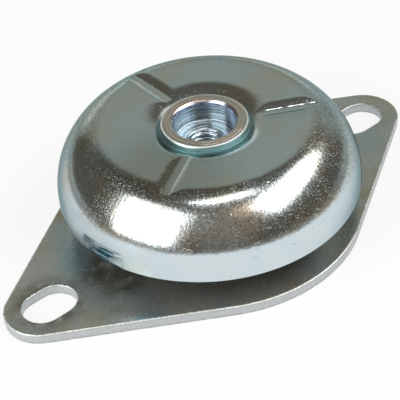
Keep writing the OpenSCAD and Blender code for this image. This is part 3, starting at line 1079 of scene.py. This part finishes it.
@dataclass
class FootPlate:
    """The foot: a blanked rhombus with rounded corners, two slots and a drawn cone."""

    thickness: float = 4 * MM
    middle: float = 53.4 * MM
    tip: float = 13.4 * MM
    slot_x: float = 71.75 * MM
    tip_shift: float = 2.75 * MM
    slot_radius: float = 7.15 * MM
    slot_half: float = 2.6 * MM
    cone_foot: float = 36.4 * MM
    ring_edge: float = 24.5 * MM
    ring_z: float = 21 * MM
    ring_hole: float = 14 * MM
    foot_bend: float = 2 * MM
    ring_bend: float = 6 * MM
    roll: float = 0.9 * MM
    roll_depth: float = 0.6 * MM
    flat_margin: float = 0.5 * MM
    sheared_wall: tuple[Span, ...] = (
        (0.0, 2.4 * MM),
        (0.0, 1.7 * MM),
        (0.06 * MM, 1.3 * MM),
        (0.14 * MM, 0.4 * MM),
        (0.2 * MM, 0.12 * MM),
        (0.34 * MM, 0.0),
    )
    cone_margin: float = 6 * MM
    cone_steps: Steps = (np.radians(5), 1.5 * MM)
    cone_columns: int = 240
    tip_count: int = 40
    middle_count: int = 60
    slot_count: int = 32
    straight_count: int = 12
    roll_count: int = 7

    def outline(self, inset: float) -> np.ndarray:
        """The blank's outline moved inwards: four arcs about fixed centres, joined by straights.

        Args:
            inset: how far it is moved.

        Returns:
            The loop's points in the plane.
        """
        tip_x = self.slot_x + self.tip_shift
        side = np.arccos((self.middle - self.tip) / tip_x)
        arcs = [
            (tip_x, self.tip, -side, side, self.tip_count),
            (0.0, self.middle, side, np.pi - side, self.middle_count),
            (-tip_x, self.tip, np.pi - side, np.pi + side, self.tip_count),
            (0.0, self.middle, np.pi + side, 2 * np.pi - side, self.middle_count),
        ]
        return self.loop(arcs, -inset)

    def slot(self, middle_x: float, grow: float) -> np.ndarray:
        """A slot's outline, grown by a distance.

        Args:
            middle_x: the x of the slot's middle.
            grow: the distance.

        Returns:
            The loop's points in the plane.
        """
        quarter, radius, count = np.pi / 2, self.slot_radius, self.slot_count
        arcs = [
            (middle_x + self.slot_half, radius, -quarter, quarter, count),
            (middle_x - self.slot_half, radius, quarter, 3 * quarter, count),
        ]
        return self.loop(arcs, grow)

    def loop(self, arcs: Sequence[tuple[float, ...]], grow: float) -> np.ndarray:
        """Points of a closed loop of arcs about middles on the X axis, joined by straights.

        Args:
            arcs: middle, radius, first and last direction and number of steps.
            grow: what is added to each radius.

        Returns:
            The loop's points in the plane.
        """
        parts = []
        for x, radius, first, last, count in arcs:
            turn = np.linspace(first, last, int(count) + 1)
            reach = radius + grow
            parts.append(np.stack([x + reach * np.cos(turn), reach * np.sin(turn)], axis=1))
        shares = np.linspace(0, 1, self.straight_count + 1)[1:-1, None]
        out = []
        for here, there in zip(parts, parts[1:] + parts[:1]):
            out += [here, here[-1] + (there[0] - here[-1]) * shares]
        return np.concatenate(out)

    def edge_rows(self) -> np.ndarray:
        """The blanked edge in section, as rows of inset and height from the top face down.

        The upper corner is drawn down by the punch on an ellipse, the wall below it is sheared, and
        the last third breaks a little inwards to a narrow lower edge.

        Returns:
            The rows.
        """
        turn = np.linspace(0, np.pi / 2, self.roll_count + 1)
        inset = self.roll * (1 - np.sin(turn))
        height = self.thickness - self.roll_depth * (1 - np.cos(turn))
        rolled = np.stack([inset, height], axis=1)
        flat = self.roll + self.flat_margin
        rows = [[[flat, self.thickness]], rolled, self.sheared_wall, [[flat, 0.0]]]
        return np.concatenate(rows)

    def blanked_edge(self, loop: Callable[[float], np.ndarray]) -> np.ndarray:
        """Runs the edge's section round a loop.

        Args:
            loop: gives the loop's points in the plane for an inset.

        Returns:
            Points as an array of section rows by loop points by 3.
        """
        section = self.edge_rows()
        flat = np.stack([loop(inset) for inset in section[:, 0]])
        tall = np.broadcast_to(section[:, 1, None, None], (*flat.shape[:2], 1))
        return np.concatenate([flat, tall], axis=2)

    def cone_profile(self) -> np.ndarray:
        """The drawn cone in section, from the top face over the ring and back to the underside.

        Returns:
            Its points, one row of radius and height each.
        """
        corners = [
            (self.cone_foot + self.cone_margin, self.thickness, 0),
            (self.cone_foot, self.thickness, self.foot_bend),
            (self.ring_edge, self.ring_z, self.ring_bend),
            (self.ring_hole, self.ring_z, 0),
        ]
        upper = rounded_line(corners, self.cone_steps)
        lower = parallel_line(corners, self.thickness, self.cone_steps)[::-1]
        return np.concatenate([upper, lower])

    @staticmethod
    def flat_face(points: np.ndarray, loops: Sequence[np.ndarray], side: int) -> np.ndarray:
        """Fills a flat face that has holes with triangles.

        Args:
            points: vertex positions, one row each.
            loops: vertex numbers of the face's loops, the outer one first.
            side: 1 for a face that looks up and -1 for one that looks down.

        Returns:
            One row of three vertex numbers a triangle.
        """
        places = [[Vector(points[k]) for k in loop] for loop in loops]
        triangles = np.concatenate(loops)[np.array(tessellate_polygon(places))]
        a, b, c = (points[triangles[:, k]] for k in range(3))
        wrong = np.cross(b - a, c - a)[:, 2] * side <= 0
        triangles[wrong] = triangles[wrong, ::-1]
        return triangles

    def build(self) -> Object:
        """Joins the edge strips, the cone and the two flat faces into one closed surface.

        Each strip runs from a loop in the top face to a loop in the bottom face.

        Returns:
            The object.
        """
        strips = [self.blanked_edge(self.outline)]
        for middle_x in (-self.slot_x, self.slot_x):
            strips.append(self.blanked_edge(partial(self.slot, middle_x))[:, ::-1])
        cone = turned_grid(self.cone_profile(), full_turn(self.cone_columns))
        strips.append(cone.transpose(1, 0, 2)[:, ::-1])
        faces, tops, bottoms = [], [], []
        used = 0
        for strip in strips:
            rows, columns = strip.shape[:2]
            faces.append(grid_faces(rows, columns, False) + used)
            tops.append(used + np.arange(columns))
            used += rows * columns
            bottoms.append(used - columns + np.arange(columns))
        points = np.concatenate([strip.reshape(-1, 3) for strip in strips])
        flats = [self.flat_face(points, tops, 1), self.flat_face(points, bottoms, -1)]
        return make_mesh("blanked_foot", points, np.concatenate(faces), np.concatenate(flats))


@dataclass
class RubberSpring:
    """The moulded rubber between bell and foot, with its lip below the ring."""

    hole: float = 10.3 * MM
    lip: float = 18.5 * MM
    lip_z: float = 14.8 * MM
    throat: float = 13.7 * MM
    under_ring_z: float = 16.7 * MM
    over_ring_z: float = 21.3 * MM
    over_ring: float = 24.6 * MM
    cone_foot: float = 34.7 * MM
    pilot_gap: float = 13.8 * MM
    step_z: float = 32.3 * MM
    recess_under: float = 19 * MM
    recess_under_z: float = 36.3 * MM
    crown_under: float = 21 * MM
    crown_under_z: float = 37.2 * MM
    top: float = 34.5 * MM
    waist: float = 30 * MM
    waist_z: float = 25 * MM
    foot: float = 36.9 * MM
    foot_z: float = 7 * MM
    small_bend: float = 0.3 * MM
    recess_bend: float = 0.6 * MM
    lip_bend: float = 1.0 * MM
    top_bend: float = 1.2 * MM
    ring_bend: float = 5.7 * MM
    waist_bend: float = 8.0 * MM
    parting_rise: float = 0.12 * MM
    parting_half: float = 0.6 * MM
    parting_inner: float = 26 * MM
    steps: Steps = (np.radians(6), 1.0 * MM)
    columns: int = 192

    def build(self) -> Object:
        """Builds the moulding by turning its section, with a fine parting line at the waist.

        Returns:
            The object.
        """
        small = self.small_bend
        corners = [
            (self.hole, self.lip_z, small),
            (self.lip, self.lip_z, self.lip_bend),
            (self.lip, self.under_ring_z, small),
            (self.throat, self.under_ring_z, small),
            (self.throat, self.over_ring_z, small),
            (self.over_ring, self.over_ring_z, self.ring_bend),
            (self.cone_foot, self.foot_z, small),
            (self.foot, self.foot_z, self.lip_bend),
            (self.waist, self.waist_z, self.waist_bend),
            (self.top, self.crown_under_z, self.top_bend),
            (self.crown_under, self.crown_under_z, self.recess_bend),
            (self.recess_under, self.recess_under_z, self.recess_bend),
            (self.pilot_gap, self.recess_under_z, small),
            (self.pilot_gap, self.step_z, small),
            (self.hole, self.step_z, small),
        ]
        profile = rounded_line(corners, self.steps, closed=True)
        near = np.abs(profile[:, 1] - self.waist_z) < self.parting_half
        outer = profile[:, 0] > self.parting_inner
        profile[near & outer, 0] += self.parting_rise
        return make_ring("rubber_moulding", turned_grid(profile, full_turn(self.columns)))


@dataclass
class ReboundWasher:
    """The stamped washer below the cone: a flat ring whose upper edge is drawn down a little."""

    hole: float = 8.05 * MM
    outer: float = 20 * MM
    low_z: float = 9.5 * MM
    high_z: float = 12.5 * MM
    hole_bend: float = 0.15 * MM
    lower_bend: float = 0.25 * MM
    upper_bend: float = 0.6 * MM
    steps: Steps = (np.radians(15), 2 * MM)
    columns: int = 144

    def build(self) -> Object:
        """Builds the washer by turning its section.

        Returns:
            The object.
        """
        corners = [
            (self.hole, self.low_z, self.hole_bend),
            (self.outer, self.low_z, self.lower_bend),
            (self.outer, self.high_z, self.upper_bend),
            (self.hole, self.high_z, self.hole_bend),
        ]
        profile = rounded_line(corners, self.steps, closed=True)
        return make_ring("stamped_washer", turned_grid(profile, full_turn(self.columns)))


# Studio


@dataclass(frozen=True)
class Softbox:
    """A flat lamp that faces the mount.

    Azimuth is counted from the camera's side, positive to its right, and radiance is the
    brightness of its face, where 1 is a white sheet in full light.
    """

    name: str
    azimuth: float
    elevation: float
    distance: float
    width: float
    height: float
    radiance: float
    roll: float = 0.0


@dataclass(frozen=True)
class Viewpoint:
    """The photograph's camera: where it stands, its axes and its lens."""

    place: Place = (-0.27134, -0.35424, 0.37507)
    back: Place = (-0.4636, -0.6166, 0.6363)
    up: Place = (0.4545, 0.4510, 0.7681)
    lens_mm: float = 147.3
    sensor_mm: float = 36.0
    nearest: float = 0.01

    def make(self) -> None:
        """Adds the camera and makes it the scene's."""
        back = Vector(self.back).normalized()
        right = Vector(self.up).cross(back).normalized()
        up = back.cross(right)
        data = bpy.data.cameras.new("camera")
        data.lens = self.lens_mm
        data.sensor_width = self.sensor_mm
        data.clip_start = self.nearest
        camera = add_object("camera", data)
        turn = Matrix((right, up, back)).transposed().to_4x4()
        camera.matrix_world = Matrix.Translation(self.place) @ turn
        bpy.context.scene.camera = camera

    @property
    def heading(self) -> float:
        """Direction from the mount to the camera, in radians from +X."""
        return float(np.arctan2(self.back[1], self.back[0]))


@dataclass(frozen=True)
class RoomPatch:
    """A soft-edged part of the room that shines with its own tone.

    The edge runs from the inner to the outer angle about the patch's middle, in degrees.
    """

    azimuth: float
    elevation: float
    inner: float
    outer: float
    tone: str


@dataclass
class Studio:
    """A pale floor with painted shade past the mount, three softboxes and a dim room round them."""

    view: Viewpoint
    floor_tone: str = "#fdfdfd"
    # Past the lamps' pool the paper is painted darker: painted shade, darker in front than behind.
    front_painted_shade_tone: str = "#85827d"
    back_painted_shade_tone: str = "#ccd4d2"
    floor_half: float = 4.0
    floor_drop: float = 0.02 * MM
    floor_roughness: float = 0.9
    pool_side: float = 0.2
    pool_along: float = 0.46
    pool_fade: Span = (0.94, 1.08)
    back_fade: Span = (0.1, -0.5)
    floor_lift: float = 0.82
    boxes: tuple[Softbox, ...] = (
        Softbox("left_box", -53, 30, 0.9, 0.74, 0.86, 3.6, roll=4),
        Softbox("right_box", 82, 48, 0.9, 0.98, 0.44, 3.6),
        Softbox("top_box", 30, 80, 1.0, 0.5, 0.22, 3.9),
    )
    room_tone: str = "#5f5b53"
    patches: tuple[RoomPatch, ...] = (
        RoomPatch(5, 35, 8, 40, "#8f857b"),
        RoomPatch(31, 52, 5, 12, "#cdb39c"),
        RoomPatch(150, 8, 12, 26, "#9ea49f"),
        RoomPatch(178, 17, 23, 39, "#9ea49f"),
        RoomPatch(-164, 1, 13, 20, "#f0f6f3"),
        RoomPatch(167, -4, 12, 19, "#f0f6f3"),
        RoomPatch(-178, -5, 8, 16, "#cdd4d1"),
    )

    def direction(self, azimuth: float, elevation: float) -> Vector:
        """Direction of a part of the room, seen from the mount.

        Args:
            azimuth: degrees from the camera's side, positive to its right.
            elevation: degrees above the floor.

        Returns:
            The unit vector towards it.
        """
        turn = self.view.heading + np.radians(azimuth)
        rise = np.radians(elevation)
        return Vector((np.cos(rise) * np.cos(turn), np.cos(rise) * np.sin(turn), np.sin(rise)))

    def make_floor(self) -> None:
        """Adds the floor just below the foot: white paper about the mount, with painted shade past
        it that stands in for the lamps' falloff, darker in front than behind.

        It shines a little of its own for the camera and in mirrors, as paper in full light does.
        """
        half = self.floor_half
        corners = [(-half, -half), (half, -half), (half, half), (-half, half)]
        mesh = bpy.data.meshes.new("floor")
        mesh.from_pydata([(x, y, -self.floor_drop) for x, y in corners], [], [(0, 1, 2, 3)])
        floor = add_object("floor", mesh)
        paper = Paint("floor_paper")
        turn = {"Vector": paper.place, "Angle": -self.view.heading}
        turned = paper.add("VectorRotate", turn, rotation_type="Z_AXIS")
        reach = (1 / self.pool_along, 1 / self.pool_side, 0)
        shares = paper.add("VectorMath", {0: turned, 1: reach}, **TIMES)
        away = paper.add("VectorMath", {0: shares}, operation="LENGTH")
        ahead = paper.add("SeparateXYZ", {0: turned})
        outside, behind = (
            paper.add("MapRange", {0: length, 1: start, 2: end}, **EASED)
            for length, (start, end) in ((away, self.pool_fade), (ahead, self.back_fade))
        )
        # Painted shade: outside the pool the paper darkens, standing in for the lamps' falloff.
        far = paper.coats(self.front_painted_shade_tone, [(behind, self.back_painted_shade_tone)])
        tone = paper.coats(self.floor_tone, [(outside, far)])
        paper.set({"Base Color": tone, "Roughness": self.floor_roughness})
        ways = paper.add("LightPath").outputs
        seen = paper.add("Math", {0: ways["Is Camera Ray"], 1: ways["Is Glossy Ray"]}, **PLUS)
        seen = paper.add("Math", {0: seen, 1: ways["Is Transmission Ray"]}, **PLUS)
        lift = paper.add("Math", {0: seen, 1: self.floor_lift}, **TIMES)
        white = paper.add("Emission", {"Color": tone, "Strength": 1.0})
        mixed = paper.add("MixShader", {0: lift, 1: paper.shader, 2: white})
        paper.tree.links.new(mixed.outputs[0], paper.output.inputs["Surface"])
        mesh.materials.append(paper.material)

    def make_boxes(self) -> None:
        """Adds the softboxes: power is radiance times pi times area."""
        for box in self.boxes:
            data = bpy.data.lights.new(box.name, "AREA")
            data.shape = "RECTANGLE"
            data.size, data.size_y = box.width, box.height
            data.energy = box.radiance * np.pi * box.width * box.height
            towards = self.direction(box.azimuth, box.elevation)
            lamp = add_object(box.name, data)
            spin = Matrix.Rotation(np.radians(box.roll), 4, "Z")
            facing = towards.to_track_quat("Z", "Y").to_matrix().to_4x4()
            lamp.matrix_world = Matrix.Translation(towards * box.distance) @ facing @ spin

    def make_world(self) -> None:
        """Lights the room with a dim warm tone and lays its soft patches over it."""
        world = bpy.data.worlds.new("room")
        bpy.context.scene.world = world
        world.use_nodes = True
        tree = world.node_tree
        tree.nodes.clear()
        place = add_node(tree, "TexCoord").outputs["Generated"]
        tone: object = self.room_tone
        for patch in self.patches:
            towards = self.direction(patch.azimuth, patch.elevation)
            near = add_node(tree, "VectorMath", {0: place, 1: towards}, operation="DOT_PRODUCT")
            edge, full = (float(np.cos(np.radians(angle))) for angle in (patch.outer, patch.inner))
            cover = add_node(tree, "MapRange", {0: near, 1: edge, 2: full}, **EASED)
            tone = add_node(tree, "Mix", {0: cover, 6: tone, 7: patch.tone}, **COLOUR)
        back = add_node(tree, "Background", {"Color": tone})
        add_node(tree, "OutputWorld", {"Surface": back})

    def make(self) -> None:
        """Adds everything round the mount and sets the plain view transform."""
        bpy.context.scene.view_settings.view_transform = "Standard"
        self.view.make()
        self.make_floor()
        self.make_boxes()
        self.make_world()


def main() -> None:
    """Builds the pieces in order, from the studio inwards."""
    logging.basicConfig(level=logging.INFO, format="%(name)s: %(message)s")
    Studio(Viewpoint()).make()
    # On the foot: painted shade below the bell's rim, and painted reflections of its skirt.
    foot_finish = BlankZinc(
        "zinc_on_blanked_sheet",
        rim_shade_patches=((-49, 2, 11), (-47, -8, 11), (-72, 0, 17)),
        skirt_reflection_patches=((-50, 17, 8), (-54, 9, 8), (-52, -30, 9)),
    )
    washer_finish = BlankZinc("zinc_on_stamped_ring", "#c8cfd0", "#bccbd0", "#c2bbab")
    riding = (
        (BellCap(), BellZinc(), Body.TOP, "bell_cap", Slot.BELL),
        (ThreadedBush(), TurnedZinc(), Body.TOP, "threaded_bush", Slot.BUSH),
        (FootPlate(), foot_finish, Body.BASE, "base_plate", Slot.FOOT),
        (ReboundWasher(), washer_finish, Body.TOP, "rebound_washer", Slot.WASHER),
    )
    for shape, finish, body, node, slot in riding:
        piece = shape.build()
        piece.data.materials.append(finish.material())
        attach(piece, body.value)
        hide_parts(node)
    rubber = RubberSpring().build()
    rubber.data.materials.append(MouldedRubber().material())
    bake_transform(rubber)
    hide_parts("rubber_element")


if __name__ == "__main__":
    main()
